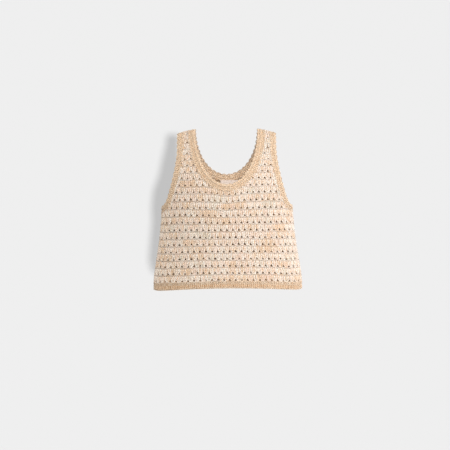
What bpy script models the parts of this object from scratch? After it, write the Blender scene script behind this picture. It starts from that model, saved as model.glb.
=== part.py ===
"""A cropped, sleeveless crocheted tank top, filled out as if worn, with no wearer.

Metres, +Z up. The front faces -Y, and +X is the right of a front view. The origin lies midway
between the shoulders, at the height of the straps' undersides, where a wearer carries the top.

Every piece is a wall laid on one cloth surface, the wearer's side of the fabric. A place on
that surface is given by three numbers:
  side  FRONT or BACK of the shoulder and side seams
  turn  angle round the level section: 0 on the centre line, +90 degrees at the +X side seam
  run   distance down the cloth's centre profile, from 0 at the shoulder line
"""

import math

import bmesh
import bpy
import numpy as np
from mathutils import Vector
from mathutils.geometry import delaunay_2d_cdt

FRONT = -1
BACK = 1
QUARTER = math.pi / 2

# ---- cloth and seams ---------------------------------------------------------------------------
WALL = 0.0032                 # body fabric, halfway up its stitch ribs
SEAM_GAP = 0.0003             # between neighbouring pieces
LABEL_WALL = 0.0010
LABEL_GAP = 0.0007            # between the label and the cloth that it hangs on

# ---- general figure: one level section a row, as drop below the shoulder line ------------------
SECTION_COLUMNS = ("drop", "half_width", "front_depth", "back_depth")
SECTIONS = (
    (0.000, 0.181, 0.000, 0.000),
    (0.003, 0.181, 0.011, 0.011),
    (0.009, 0.181, 0.021, 0.022),
    (0.020, 0.181, 0.033, 0.036),
    (0.040, 0.181, 0.049, 0.054),
    (0.070, 0.181, 0.067, 0.072),
    (0.110, 0.181, 0.086, 0.085),
    (0.160, 0.180, 0.101, 0.091),
    (0.216, 0.177, 0.108, 0.092),
    (0.270, 0.181, 0.108, 0.092),
    (0.310, 0.186, 0.107, 0.093),
    (0.350, 0.1925, 0.107, 0.095),
    (0.393, 0.199, 0.108, 0.098),
    (0.435, 0.2015, 0.110, 0.100),
)
SHOULDER_SLOPE = 0.24        # fall of the shoulder line for each metre outwards
STRAP_MIDDLE = 0.110          # where that line crosses the origin's height
SLOPE_FADE_DROP = 0.120       # drop at which the slope has levelled out
HEM_SAG = 0.009               # the sides hang about this much lower than the centres
SAG_START_DROP = 0.230
SEAM_LIFT = 0.45              # share of the sag that the side seams take back
SEAM_LIFT_POWER = 24          # how close to the seams that happens

# ---- openings, measured to the valleys of their scallops -----------------------------------------
NECK_HALF_WIDTH = 0.0870
NECK_DROP = {FRONT: 0.1490, BACK: 0.1165}
STRAP_OUTER = 0.1325          # half-width at the straps' outer edges
ARM_CURVE_DROP = 0.050        # the armhole starts to spread below this drop
ARM_DROP = 0.206
ARM_SPREAD = 0.0350           # how far it spreads before it turns under the arm
ARM_SPREAD_POWER = 1.55
ARM_TURN_POWER = 24           # sharpness of that last turn, out to the side seam
HEM_TOP_DROP = 0.4075
HEM_BOTTOM_DROP = 0.4258

# ---- borders -----------------------------------------------------------------------------------
NECK_TRIM_WIDTH = 0.0168      # from a scallop's valley to the body fabric
ARM_TRIM_WIDTH = 0.0142
SCALLOP_PITCH = 0.0152
SCALLOP_RISE = (0.0, 0.0018, 0.0024, 0.0018)      # past the free edge, one scallop's stations
TRIM_PROFILE = (              # share of the border's width from its free edge, wall
    (0.000, 0.0024),
    (0.300, 0.0042),
    (0.625, 0.0030),
    (1.000, 0.0038),
)
HEM_STATION = 0.0083          # length of one step round the hem
HEM_PROFILE = (               # share of the band's height from its top, wall
    (0.00, 0.0032),
    (0.12, 0.0043),
    (0.22, 0.0028),
    (0.58, 0.0040),
    (1.00, 0.0028),
)

# ---- stitch rows, raised as low ribs ------------------------------------------------------------
ROW_PITCH = 0.0191
FIRST_GROOVE = 0.0054         # lowest groove, above the hem band
RIB_RISE = 0.0016             # from groove to crest
CLUSTER_PITCH = 0.0165        # along a row, each row shifted by half of it
INSIDE_SPACING = 0.028        # plain inner face
EDGE_SPACING = 0.0095         # points along the side seams

# ---- label ---------------------------------------------------------------------------------------
LABEL_WIDTH = 0.052
LABEL_CENTRE = 0.008          # it sits this far towards +X
LABEL_TOP_DROP = 0.1300
LABEL_HEIGHT = 0.0200
LABEL_COLUMNS_ACROSS = 9
LABEL_ROWS_DOWN = 4

SPLINE_STEPS = 24
CORNER_CLEAR = 0.01           # turn kept free beside the underarm corner of a panel
WALK_STEPS = 4
NUDGE = 0.0005                # step of the finite differences, in radians and in metres

CREAM = (0.72, 0.58, 0.45, 1.0)
TAN = (0.62, 0.46, 0.31, 1.0)
LABEL_WHITE = (0.80, 0.70, 0.62, 1.0)


# ---- cloth surface ---------------------------------------------------------------------------------
def smooth_column(knots, values, first_slope):
    """Dense samples of a smooth curve through (knots, values), by cubic Hermite pieces."""
    slopes = np.gradient(values, knots)
    slopes[0] = first_slope
    share = np.linspace(0.0, 1.0, SPLINE_STEPS, endpoint=False)
    samples = []
    for low in range(len(knots) - 1):
        width = knots[low + 1] - knots[low]
        ease = share * share * (3 - 2 * share)
        leave = share * (1 - share) ** 2 * width
        arrive = -share * share * (1 - share) * width
        piece = values[low] * (1 - ease) + values[low + 1] * ease
        samples.append(piece + slopes[low] * leave + slopes[low + 1] * arrive)
    samples.append([values[-1]])
    return np.concatenate(samples)


def centre_profile(depth_column):
    """Run, drop and depth along one side's centre line, in dense samples."""
    rows = np.array(SECTIONS)
    drops = rows[:, SECTION_COLUMNS.index("drop")]
    depths = rows[:, SECTION_COLUMNS.index(depth_column)]
    chords = np.hypot(np.diff(drops), np.diff(depths))
    knots = np.concatenate(([0.0], np.cumsum(chords)))
    drop = smooth_column(knots, drops, 0.0)
    depth = smooth_column(knots, depths, 1.0)
    steps = np.hypot(np.diff(drop), np.diff(depth))
    run = np.concatenate(([0.0], np.cumsum(steps)))
    return run, drop, depth


def half_width_curve():
    rows = np.array(SECTIONS)
    drops = rows[:, SECTION_COLUMNS.index("drop")]
    widths = rows[:, SECTION_COLUMNS.index("half_width")]
    return smooth_column(drops, drops, 1.0), smooth_column(drops, widths, 0.0)


PROFILES = {FRONT: centre_profile("front_depth"), BACK: centre_profile("back_depth")}
WIDTH_DROPS, HALF_WIDTHS = half_width_curve()


def run_at_drop(side, drop):
    run, drops, _ = PROFILES[side]
    return np.interp(drop, drops, run)


def half_width_at(drop):
    return np.interp(drop, WIDTH_DROPS, HALF_WIDTHS)


def side_column(side, run, column):
    """A profile column at each run, taken from the front or the back table."""
    values = {}
    for key, profile in PROFILES.items():
        values[key] = np.interp(run, profile[0], profile[column])
    return np.where(side == FRONT, values[FRONT], values[BACK])


def cloth_points(side, turn, run):
    """Points of the cloth surface. A run below 0 has crossed the shoulder to the other side."""
    side = np.where(run < 0, -side, side)
    run = np.abs(run)
    drop = side_column(side, run, 1)
    depth = side_column(side, run, 2)
    x = half_width_at(drop) * np.sin(turn)
    y = side * depth * np.cos(turn)
    level = np.clip(1 - drop / SLOPE_FADE_DROP, 0, 1) ** 2
    sag = np.clip((drop - SAG_START_DROP) / (HEM_BOTTOM_DROP - SAG_START_DROP), 0, 1) ** 1.5
    z = -drop + SHOULDER_SLOPE * (STRAP_MIDDLE - np.abs(x)) * level
    round_side = np.sin(turn) ** 2 - SEAM_LIFT * np.sin(turn) ** SEAM_LIFT_POWER
    z = z - HEM_SAG * round_side * sag
    return np.stack((x, y, z), axis=-1)


def cloth_slopes(side, turn, run):
    """Change of the surface point for each unit of turn and of run."""
    by_turn = cloth_points(side, turn + NUDGE, run) - cloth_points(side, turn - NUDGE, run)
    by_run = cloth_points(side, turn, run + NUDGE) - cloth_points(side, turn, run - NUDGE)
    return by_turn / (2 * NUDGE), by_run / (2 * NUDGE)


def cloth_normals(side, turn, run):
    by_turn, by_run = cloth_slopes(side, turn, run)
    across = np.cross(by_turn, by_run) * np.reshape(side, (-1, 1))
    return across / np.linalg.norm(across, axis=1, keepdims=True)


def lifted(places, lift):
    """World points at a height over the cloth surface. Places are (side, turn, run) rows."""
    side, turn, run = np.array(places, dtype=float).T
    height = np.reshape(lift, (-1, 1))
    return cloth_points(side, turn, run) + cloth_normals(side, turn, run) * height


def arc_along(side, turn, run):
    """Distance along the level section from the centre line, for the flat layout of a panel."""
    steps = np.linspace(0.0, 1.0, SPLINE_STEPS)
    half_width = half_width_at(side_column(side, run, 1))
    depth = side_column(side, run, 2)
    angles = np.multiply.outer(np.atleast_1d(turn), steps)
    speed = np.hypot(np.reshape(half_width, (-1, 1)) * np.cos(angles),
                     np.reshape(depth, (-1, 1)) * np.sin(angles))
    return np.mean((speed[:, 1:] + speed[:, :-1]) / 2, axis=1) * turn


# ---- edge curves -------------------------------------------------------------------------------------
def neck_edge(side):
    """Half an ellipse from the +X shoulder to the -X one, as dense (turn, run) rows."""
    angle = np.linspace(0.0, math.pi, 241)
    drop = NECK_DROP[side] * np.sin(angle)
    x = NECK_HALF_WIDTH * np.cos(angle)
    turn = np.arcsin(x / half_width_at(drop))
    return np.stack((turn, run_at_drop(side, drop)), axis=-1)


def arm_edge(side, hand):
    """From the shoulder to the side seam; hand is +1 on the +X side and -1 on the other."""
    spread = np.linspace(0.0, 1.0, 241) ** 1.3
    drop = ARM_DROP * spread
    curve = np.clip((drop - ARM_CURVE_DROP) / (ARM_DROP - ARM_CURVE_DROP), 0, 1)
    last = half_width_at(ARM_DROP) - STRAP_OUTER - ARM_SPREAD
    x = STRAP_OUTER + ARM_SPREAD * curve ** ARM_SPREAD_POWER + last * curve ** ARM_TURN_POWER
    turn = hand * np.arcsin(np.clip(x / half_width_at(drop), 0, 1))
    turn[-1] = hand * QUARTER
    return np.stack((turn, run_at_drop(side, drop)), axis=-1)


def even_stations(side, edge, pitch, group):
    """Places at even steps along an edge, in whole groups, without the last point."""
    points = cloth_points(side, edge[:, 0], edge[:, 1])
    steps = np.linalg.norm(np.diff(points, axis=0), axis=1)
    length = np.concatenate(([0.0], np.cumsum(steps)))
    count = group * round(length[-1] / pitch)
    where = np.linspace(0.0, length[-1], count, endpoint=False)
    turn = np.interp(where, length, edge[:, 0])
    run = np.interp(where, length, edge[:, 1])
    return np.stack((np.full(count, float(side)), turn, run), axis=-1)


def neck_stations():
    """Places round the neck: the front from +X to -X, then the back from -X to +X."""
    group = len(SCALLOP_RISE)
    front = even_stations(FRONT, neck_edge(FRONT), SCALLOP_PITCH, group)
    back = even_stations(BACK, neck_edge(BACK)[::-1], SCALLOP_PITCH, group)
    return np.concatenate((front, back))


def arm_stations(hand):
    """Places round one armhole: down the front from the shoulder, then up the back."""
    group = len(SCALLOP_RISE)
    front = even_stations(FRONT, arm_edge(FRONT, hand), SCALLOP_PITCH, group)
    back = even_stations(BACK, arm_edge(BACK, hand)[::-1], SCALLOP_PITCH, group)
    return np.concatenate((front, back))


def inward_directions(stations, hand):
    """Unit directions into the fabric, in the local (turn, run) frame of each ring station."""
    side, turn, run = stations.T
    by_turn, by_run = cloth_slopes(side, turn, run)
    points = cloth_points(side, turn, run)
    course = np.roll(points, -1, axis=0) - np.roll(points, 1, axis=0)
    turn_scale = np.linalg.norm(by_turn, axis=1)
    run_scale = np.linalg.norm(by_run, axis=1)
    turn_part = np.sum(course * by_turn, axis=1) / turn_scale
    run_part = np.sum(course * by_run, axis=1) / run_scale
    length = np.hypot(turn_part, run_part)
    facing = -side * hand
    return np.stack((facing * run_part / length, -facing * turn_part / length), axis=-1)


def walked(stations, directions, distance):
    """Stations moved over the cloth by a distance along their directions."""
    side, turn, run = stations.T.copy()
    step = distance / WALK_STEPS
    for _ in range(WALK_STEPS):
        by_turn, by_run = cloth_slopes(side, turn, run)
        turn = turn + directions[:, 0] * step / np.linalg.norm(by_turn, axis=1)
        run = run + directions[:, 1] * step / np.linalg.norm(by_run, axis=1)
    return np.stack((side, turn, run), axis=-1)


# ---- solids ---------------------------------------------------------------------------------------------
def cloth_material(name, colour, roughness):
    material = bpy.data.materials.new(name)
    material.use_nodes = True
    surface = material.node_tree.nodes["Principled BSDF"]
    surface.inputs["Base Color"].default_value = colour
    surface.inputs["Roughness"].default_value = roughness
    surface.inputs["Metallic"].default_value = 0.0
    return material


def add_solid(name, points, faces, material):
    """One closed piece from its points and faces, shaded smooth but for its rims."""
    mesh = bpy.data.meshes.new(name)
    mesh.from_pydata([tuple(point) for point in points], [], faces)
    shape = bmesh.new()
    shape.from_mesh(mesh)
    bmesh.ops.recalc_face_normals(shape, faces=shape.faces)
    shape.to_mesh(mesh)
    shape.free()
    mesh.shade_smooth()
    mesh.set_sharp_from_angle(angle=math.radians(50))
    mesh.materials.append(material)
    piece = bpy.data.objects.new(name, mesh)
    bpy.context.scene.collection.objects.link(piece)
    return piece


def grid_faces(first, columns, rows, closed):
    """Quads between neighbouring columns of points, each column holding a fixed number."""
    faces = []
    for column in range(columns if closed else columns - 1):
        following = (column + 1) % columns
        for row in range(rows - 1):
            here = first + column * rows + row
            there = first + following * rows + row
            faces.append((here, there, there + 1, here + 1))
    return faces


def ring_solid(name, outer_rows, inner_rows, material):
    """A closed band. Both lists hold one (N, 3) array a line, from one edge to the other."""
    columns = len(outer_rows[0])
    outer = np.stack(outer_rows, axis=1).reshape(-1, 3)
    inner = np.stack(inner_rows, axis=1).reshape(-1, 3)
    high = len(outer_rows)
    low = len(inner_rows)
    first = len(outer)
    faces = grid_faces(0, columns, high, True)
    faces += [face[::-1] for face in grid_faces(first, columns, low, True)]
    for column in range(columns):
        following = (column + 1) % columns
        for top, bottom in ((0, 0), (high - 1, low - 1)):
            a = column * high + top
            b = following * high + top
            c = first + following * low + bottom
            d = first + column * low + bottom
            faces.append((a, b, c, d))
    return add_solid(name, np.concatenate((outer, inner)), faces, material)


def trim_solid(name, stations, hand, width, material):
    """A scalloped border that follows the free edge of an opening."""
    directions = inward_directions(stations, hand)
    rise = np.tile(SCALLOP_RISE, len(stations) // len(SCALLOP_RISE))
    edge = walked(stations, directions, -rise)
    outer = []
    for share, wall in TRIM_PROFILE:
        line = walked(stations, directions, share * width) if share else edge
        outer.append(lifted(line, wall))
    inner = [lifted(edge, 0.0), lifted(walked(stations, directions, width), 0.0)]
    ring_solid(name, outer, inner, material)
    return walked(stations, directions, width + SEAM_GAP)


def hem_turns(side):
    """Even steps along the hem from the +X side seam to the -X one, both ends included."""
    run = run_at_drop(side, HEM_BOTTOM_DROP)
    turn = np.linspace(QUARTER, -QUARTER, 181)
    along = arc_along(side, turn, np.full_like(turn, run))
    count = 2 * round((along[0] - along[-1]) / HEM_STATION / 2)
    where = np.linspace(along[0], along[-1], count + 1)
    return np.interp(-where, -along, turn)


def hem_solid(material):
    """The band under both panels, in lines from its top to its free edge."""
    front = hem_turns(FRONT)[:-1]
    back = hem_turns(BACK)[::-1][:-1]
    turns = np.concatenate((front, back))
    sides = np.concatenate((np.full(len(front), FRONT), np.full(len(back), BACK)))

    def line(share):
        drop = HEM_TOP_DROP + share * (HEM_BOTTOM_DROP - HEM_TOP_DROP)
        runs = np.where(sides == FRONT, run_at_drop(FRONT, drop), run_at_drop(BACK, drop))
        return np.stack((sides, turns, runs), axis=-1)

    outer = [lifted(line(share), wall) for share, wall in HEM_PROFILE]
    inner = [lifted(line(0.0), 0.0), lifted(line(1.0), 0.0)]
    return ring_solid("hem_band", outer, inner, material)


def inside_outline(flat, outline, margin):
    """Which flat points lie inside the outline and at least a margin from it."""
    starts = outline
    ends = np.roll(outline, -1, axis=0)
    kept = []
    for point in flat:
        above = (starts[:, 1] > point[1]) != (ends[:, 1] > point[1])
        rise = np.where(above, ends[:, 1] - starts[:, 1], 1.0)
        crossing = starts[:, 0] + (point[1] - starts[:, 1]) / rise * (ends[:, 0] - starts[:, 0])
        inside = np.count_nonzero(above & (crossing > point[0])) % 2 == 1
        course = ends - starts
        share = np.sum((point - starts) * course, axis=1) / np.sum(course * course, axis=1)
        foot = starts + course * np.clip(share, 0, 1)[:, None]
        clear = np.min(np.hypot(*(foot - point).T)) > margin
        kept.append(inside and clear)
    return np.array(kept)


def row_places(side, run, spacing, shift):
    """Places along one level line of a panel, a spacing apart and shifted by a share of it."""
    turn = np.linspace(-QUARTER, QUARTER, 121)
    along = arc_along(side, turn, np.full_like(turn, run))
    count = int(along[-1] / spacing) + 1
    where = (np.arange(-count, count + 1) + shift) * spacing
    where = where[np.abs(where) < along[-1]]
    turns = np.interp(where, along, turn)
    return np.stack((np.full(len(turns), float(side)), turns, np.full(len(turns), run)), axis=-1)


def rib_places(side):
    """Groove and crest lines of the stitch rows, with the wall at each place."""
    lowest = run_at_drop(side, HEM_TOP_DROP) - FIRST_GROOVE
    places = []
    walls = []
    for row in range(int(lowest / ROW_PITCH) + 1):
        shift = 0.5 * (row % 2)
        for share, wall in ((0.0, WALL - RIB_RISE / 2), (0.5, WALL + RIB_RISE / 2)):
            run = lowest - (row + share) * ROW_PITCH
            if run > 0:
                line = row_places(side, run, CLUSTER_PITCH, shift)
                places.append(line)
                walls.append(np.full(len(line), wall))
    return np.concatenate(places), np.concatenate(walls)


def plain_places(side):
    """Sparse places for the wearer's face of a panel."""
    lowest = run_at_drop(side, HEM_TOP_DROP)
    lines = []
    for row in range(1, int(lowest / INSIDE_SPACING) + 1):
        run = lowest - row * INSIDE_SPACING
        if run > 0:
            lines.append(row_places(side, run, INSIDE_SPACING, 0.5 * (row % 2)))
    return np.concatenate(lines)


def flattened(places):
    side, turn, run = places.T
    return np.stack((arc_along(side, turn, run), run), axis=-1)


def filled(outline, places, spacing):
    """Triangles of a panel face: the places inside, and the faces over outline and places."""
    outline_flat = flattened(outline)
    inside = inside_outline(flattened(places), outline_flat, spacing * 0.42)
    flat = np.concatenate((outline_flat, flattened(places)[inside]))
    count = len(outline)
    edges = [(index, (index + 1) % count) for index in range(count)]
    result = delaunay_2d_cdt([Vector(point) for point in flat], edges, [], 1, 1e-9)
    origin = [sources[0] for sources in result[3]]
    faces = [tuple(origin[corner] for corner in face) for face in result[2]]
    return inside, faces


def seam_turn(side, run):
    """The turn that lies half a seam gap short of the side seam."""
    depth = side_column(side, run, 2)
    return QUARTER - SEAM_GAP / 2 / depth


def ring_rows(ring, side):
    """One side's (turn, run) rows of a ring's inner line, in order from the +X or top shoulder."""
    rows = ring[(ring[:, 0] == side) & (ring[:, 2] > SEAM_GAP)][:, 1:]
    return rows if side == FRONT else rows[::-1]


def panel_outline(side, neck, left_arm):
    """The panel's edge: neckline from +X to -X, then down the -X side and up the mirrored one."""
    shoulder_run = SEAM_GAP / 2
    inner_turn = math.asin((NECK_HALF_WIDTH + NECK_TRIM_WIDTH + SEAM_GAP) / half_width_at(0.0))
    outer_turn = math.asin((STRAP_OUTER - ARM_TRIM_WIDTH - SEAM_GAP) / half_width_at(0.0))
    neck_rows = ring_rows(neck, side)[::2]
    neckline = [(inner_turn, shoulder_run), *neck_rows, (-inner_turn, shoulder_run)]

    underarm_run = run_at_drop(side, ARM_DROP) + ARM_TRIM_WIDTH + SEAM_GAP
    hem_run = run_at_drop(side, HEM_TOP_DROP) - SEAM_GAP
    seam_steps = round((hem_run - underarm_run) / EDGE_SPACING)
    seam_runs = np.linspace(underarm_run, hem_run, seam_steps + 1)
    seam = [(-seam_turn(side, run), run) for run in seam_runs]
    arm_rows = ring_rows(left_arm, side)
    arm_rows = arm_rows[arm_rows[:, 0] > seam[0][0] + CORNER_CLEAR]
    hem_half = [(turn, hem_run) for turn in hem_turns(side)[::-1] if seam[-1][0] < turn < 0]

    left = [(-outer_turn, shoulder_run), *arm_rows, *seam, *hem_half]
    right = [(-turn, run) for turn, run in reversed(left)]
    line = neckline + left + [(0.0, hem_run)] + right
    return np.array([(float(side), turn, run) for turn, run in line])


def panel_solid(name, side, neck, left_arm, material):
    """A ribbed outer face and a plain inner one over one outline, joined by a rim."""
    outline = panel_outline(side, neck, left_arm)
    ribs, walls = rib_places(side)
    inside, outer_faces = filled(outline, ribs, CLUSTER_PITCH)
    outer_walls = np.concatenate((np.full(len(outline), WALL), walls[inside]))
    outer = lifted(np.concatenate((outline, ribs[inside])), outer_walls)

    plain = plain_places(side)
    kept, inner_faces = filled(outline, plain, INSIDE_SPACING)
    inner = lifted(np.concatenate((outline, plain[kept])), 0.0)

    first = len(outer)
    count = len(outline)
    faces = list(outer_faces)
    faces += [tuple(first + corner for corner in reversed(face)) for face in inner_faces]
    for index in range(count):
        following = (index + 1) % count
        faces.append((index, following, first + following, first + index))
    return add_solid(name, np.concatenate((outer, inner)), faces, material)


def label_solid(material):
    """A thin woven rectangle on the wearer's side of the back, made from the cloth's points."""
    top = run_at_drop(BACK, LABEL_TOP_DROP)
    half_width = half_width_at(LABEL_TOP_DROP)
    places = []
    for column in range(LABEL_COLUMNS_ACROSS):
        x = LABEL_CENTRE + LABEL_WIDTH * (column / (LABEL_COLUMNS_ACROSS - 1) - 0.5)
        for row in range(LABEL_ROWS_DOWN):
            run = top + LABEL_HEIGHT * row / (LABEL_ROWS_DOWN - 1)
            places.append((BACK, math.asin(x / half_width), run))
    near = lifted(places, -LABEL_GAP)
    far = lifted(places, -LABEL_GAP - LABEL_WALL)
    first = len(near)
    faces = grid_faces(0, LABEL_COLUMNS_ACROSS, LABEL_ROWS_DOWN, False)
    faces += [tuple(first + corner for corner in face[::-1]) for face in faces]
    last = LABEL_ROWS_DOWN - 1
    rim = [(column, 0) for column in range(LABEL_COLUMNS_ACROSS)]
    rim += [(LABEL_COLUMNS_ACROSS - 1, row) for row in range(1, LABEL_ROWS_DOWN)]
    rim += [(column, last) for column in reversed(range(LABEL_COLUMNS_ACROSS - 1))]
    rim += [(0, row) for row in reversed(range(1, last))]
    corners = [column * LABEL_ROWS_DOWN + row for column, row in rim]
    for here, there in zip(corners, corners[1:] + corners[:1]):
        faces.append((here, there, first + there, first + here))
    return add_solid("neck_label", np.concatenate((near, far)), faces, material)


def main():
    for old in list(bpy.data.objects):
        bpy.data.objects.remove(old, do_unlink=True)

    neck = trim_solid("neck_trim", neck_stations(), 1, NECK_TRIM_WIDTH,
                      cloth_material("tan neck trim", TAN, 0.9))
    for hand, name in ((1, "armhole_trim_right"), (-1, "armhole_trim_left")):
        arm = trim_solid(name, arm_stations(hand), -hand, ARM_TRIM_WIDTH,
                         cloth_material("tan " + name, TAN, 0.9))
    for side, name in ((FRONT, "front_panel"), (BACK, "back_panel")):
        panel_solid(name, side, neck, arm, cloth_material("cream " + name, CREAM, 0.9))
    hem_solid(cloth_material("tan hem", TAN, 0.9))
    label_solid(cloth_material("woven label", LABEL_WHITE, 0.7))


main()
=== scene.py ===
"""A cropped, sleeveless crocheted tank top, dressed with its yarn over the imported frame.

Metres, +Z up, front towards -Y. Body rows are clusters of three tall stitches worked into the
gaps of the row below, under a chain ridge. Borders and hem are solid sand-coloured stitches.
"""

import math

import bpy
import numpy as np
from bpy.props import FloatProperty, FloatVectorProperty, PointerProperty
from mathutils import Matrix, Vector
from mathutils.geometry import delaunay_2d_cdt


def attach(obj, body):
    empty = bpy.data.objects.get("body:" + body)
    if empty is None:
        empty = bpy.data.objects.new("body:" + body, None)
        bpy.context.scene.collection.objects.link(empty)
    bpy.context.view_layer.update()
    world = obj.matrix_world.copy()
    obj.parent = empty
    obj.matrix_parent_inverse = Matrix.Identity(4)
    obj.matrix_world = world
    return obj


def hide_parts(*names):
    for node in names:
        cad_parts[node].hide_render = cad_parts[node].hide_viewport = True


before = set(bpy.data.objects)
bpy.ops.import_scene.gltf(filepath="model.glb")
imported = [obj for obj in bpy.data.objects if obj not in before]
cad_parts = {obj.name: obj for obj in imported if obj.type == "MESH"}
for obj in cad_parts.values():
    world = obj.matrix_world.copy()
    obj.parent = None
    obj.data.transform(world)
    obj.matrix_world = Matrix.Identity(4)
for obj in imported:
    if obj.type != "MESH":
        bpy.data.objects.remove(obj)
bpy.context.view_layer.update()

bl_info = {
    "name": "Crocheted tank top",
    "version": (1, 0, 0),
    "blender": (4, 5, 0),
    "location": "3D View > Sidebar > Tank top",
    "description": "Lays crocheted yarn over the tank top's packed frame",
    "category": "Object",
}

FRONT = -1
BACK = 1
SIDES = {"front": FRONT, "back": BACK}
QUARTER = math.pi / 2

# The cloth's own sizes, as in the frame.
# Each section: drop below the shoulder line, half-width, front depth, back depth
SECTIONS = np.array((
    (0.000, 0.181, 0.000, 0.000),
    (0.003, 0.181, 0.011, 0.011),
    (0.009, 0.181, 0.021, 0.022),
    (0.020, 0.181, 0.033, 0.036),
    (0.040, 0.181, 0.049, 0.054),
    (0.070, 0.181, 0.067, 0.072),
    (0.110, 0.181, 0.086, 0.085),
    (0.160, 0.180, 0.101, 0.091),
    (0.216, 0.177, 0.108, 0.092),
    (0.270, 0.181, 0.108, 0.092),
    (0.310, 0.186, 0.107, 0.093),
    (0.350, 0.1925, 0.107, 0.095),
    (0.393, 0.199, 0.108, 0.098),
    (0.435, 0.2015, 0.110, 0.100),
))
SHOULDER_SLOPE = 0.24
STRAP_MIDDLE = 0.110
SLOPE_FADE_DROP = 0.120
HEM_SAG = 0.009
SAG_START_DROP = 0.230
SAG_POWER = 1.5
SEAM_LIFT = 0.45
SEAM_LIFT_POWER = 24
NECK_HALF_WIDTH = 0.0870
NECK_DROP = {FRONT: 0.1490, BACK: 0.1165}
STRAP_OUTER = 0.1325
ARM_CURVE_DROP = 0.050
ARM_DROP = 0.206
ARM_SPREAD = 0.0350
ARM_SPREAD_POWER = 1.55
ARM_TURN_POWER = 24
HEM_TOP_DROP = 0.4075
HEM_BOTTOM_DROP = 0.4258
NECK_TRIM_WIDTH = 0.0168
ARM_TRIM_WIDTH = 0.0142
SCALLOP_PITCH = 0.0152
LABEL_SIZE = (0.052, 0.0200)
LABEL_CENTRE = 0.008
LABEL_TOP_DROP = 0.1300
LABEL_GAP = 0.0007

# How finely things are worked out
SPLINE_STEPS = 24
NUDGE = 0.0005
EDGE_POINTS = 241
EDGE_CROWDING = 1.3           # crowds an armhole's points towards the shoulder
WALK_STEPS = 4
RING_STEPS = 8                # stations in one scallop
OUTLINE_STEPS = 91
SEAM_POINTS = 30
HEM_EDGE_POINTS = 48          # from the side seam to the centre, along a panel's lower edge
TUBE_SIDES = 5
LOOP_POINTS = 5
LABEL_GRID = (33, 13)

# Thin ground cloths, as heights of both faces, and the places of the borders' and hem's lines
SHELL_LIFTS = (0.0015, 0.0018)
BORDER_LIFTS = (0.0018, 0.0021)
SHELL_CREASE = math.radians(50)
BORDER_EDGE = 0.0008
BORDER_LINES = (0.0045, 0.0105, 0.0166)
HEM_STEPS = 60
HEM_LINES = (0.0, 0.33, 0.66, 0.97)
SEAM_CLEAR = 0.001
RIBBON_WALL = 0.0008

# How far rows ride up beside the centre, as (height above the hem, rise)
NECK_DIP = ((0.12, 0.0), (0.178, 0.0030), (0.199, 0.0036), (0.216, 0.0068), (0.237, 0.0080),
            (0.32, 0.0080), (0.45, 0.0))
NECK_DIP_WIDTH = 0.042

# The back's rows ride higher than the front's, so that its gaps don't lie behind the front's
BACK_RISE = 0.0020
BACK_RISE_RATE = 0.0457       # more of it for each metre over the hem
BACK_RISE_REACH = 0.245       # distance from the centre line where it has died out

# Slow waves in the rows, as (depth, length along, length up, start)
WANDER = ((0.0005, 0.023, 0.041, 0.0), (0.0004, 0.011, -0.017, 1.0))
STRETCH_COLUMNS = 14          # clusters from the centre to the full side stretch

# Gaps between clusters: half of the outline, as across in clusters and height over the middle
GAP_LOOP = (
    (0.00, 0.0030), (0.105, 0.0023), (0.180, 0.0006), (0.208, -0.0011), (0.170, -0.0025),
    (0.00, -0.0028),
)
GAP_START = 0.35              # where a row's gaps lie, in clusters
GAP_LEAN = 15.0               # clusters that a gap's top leans to the left, for each metre
GAP_SIZES = (1.0, 0.84, 0.68)      # a gap that comes too near an edge is drawn smaller
GAP_CLEAR = 0.0010
FILL_PLACES = ((0.0, 0.5), (0.62, 0.25), (0.85, 0.25))   # share of a row's height, shift across
FILL_CLEAR = 0.003

# A cluster's post. FAN, SQUEEZE and PLUMP are its spread, its plies' swing and their radius, as
# (share at the foot, height where it is full, power)
CLUSTER = (-1, 0, 1)
POST_FOOT = -0.0012
POST_OVERLAP = 0.0006
FAN = (0.26, 0.0080, 0.75)
SQUEEZE = (0.62, 0.0075, 1)
PLUMP = (0.76, 0.0085, 1)
LEANS = (0.11, 0.04)          # how far the foot leans in odd rows and in even ones
LEAN_HEIGHT = 0.008
POST_STRAY = (0.026, 0.0004)
POST_TURNS = 0.62
PLY_SWING = 0.082
PLY_RISE = 0.00062
POST_LIFT = 0.00165
FOOT_BULGE = 0.0011
FOOT_BULGE_HEIGHT = 0.0030
SIDE_POSTS_LOWER = 0.45
HEAD_TUCK = 0.0003
HEAD_SHARE = 0.86
POST_OVERHANG = -0.0025       # how far posts may pass the panel's edge, and ridges
RIDGE_OVERHANG = -0.0022
RIDGE_LIFT = 0.0015
RIDGE_WAVE = 0.00055
RIDGE_SPREAD = 0.00140
RIDGE_OPEN = 0.0010           # the ridges lie on the cloth, so less of them is in the shade

# Seams, borders and hem
EDGE_CHAIN_PITCH = 0.0055
EDGE_CHAIN_LIFT = 0.0024
EDGE_CHAIN_SPREAD = 0.0011
SEAM_INSET = 0.0014           # middle of a seam's chain, from the seam itself
STITCHES_IN_SCALLOP = 3
FREE_EDGE = (0.0025, 0.8)     # rise of the free edge over its valleys, and the curve's power
BORDER_PLY_STEP = 0.7         # how far the plies turn from one post to the next
BORDER_SWING = 0.19           # of a post's plies, in stitches
BORDER_RISE = 0.0005
BORDER_CHAIN_SPREAD = 0.00135
PETALS = 5
PETAL_FOOT = 0.0050
PETAL_REACH = 0.0072
PETAL_SHORTER = 0.0007        # how much shorter each petal is than the one nearer the middle
PETAL_FAN = math.radians(27)
PETAL_ASIDE = 0.045
PETAL_RISE = 0.0006
HEM_PITCH = 0.0055
HEM_SHADE = 0.0012            # the hem's posts lie in the shade of its ridges
HEM_POST = (0.10, 0.86)       # top and length of a post, as shares of the band
HEM_POST_TURN = 1.1
HEM_PLY_STEP = 0.9
HEM_SWING = 0.20
HEM_LIFT = 0.0019
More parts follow.
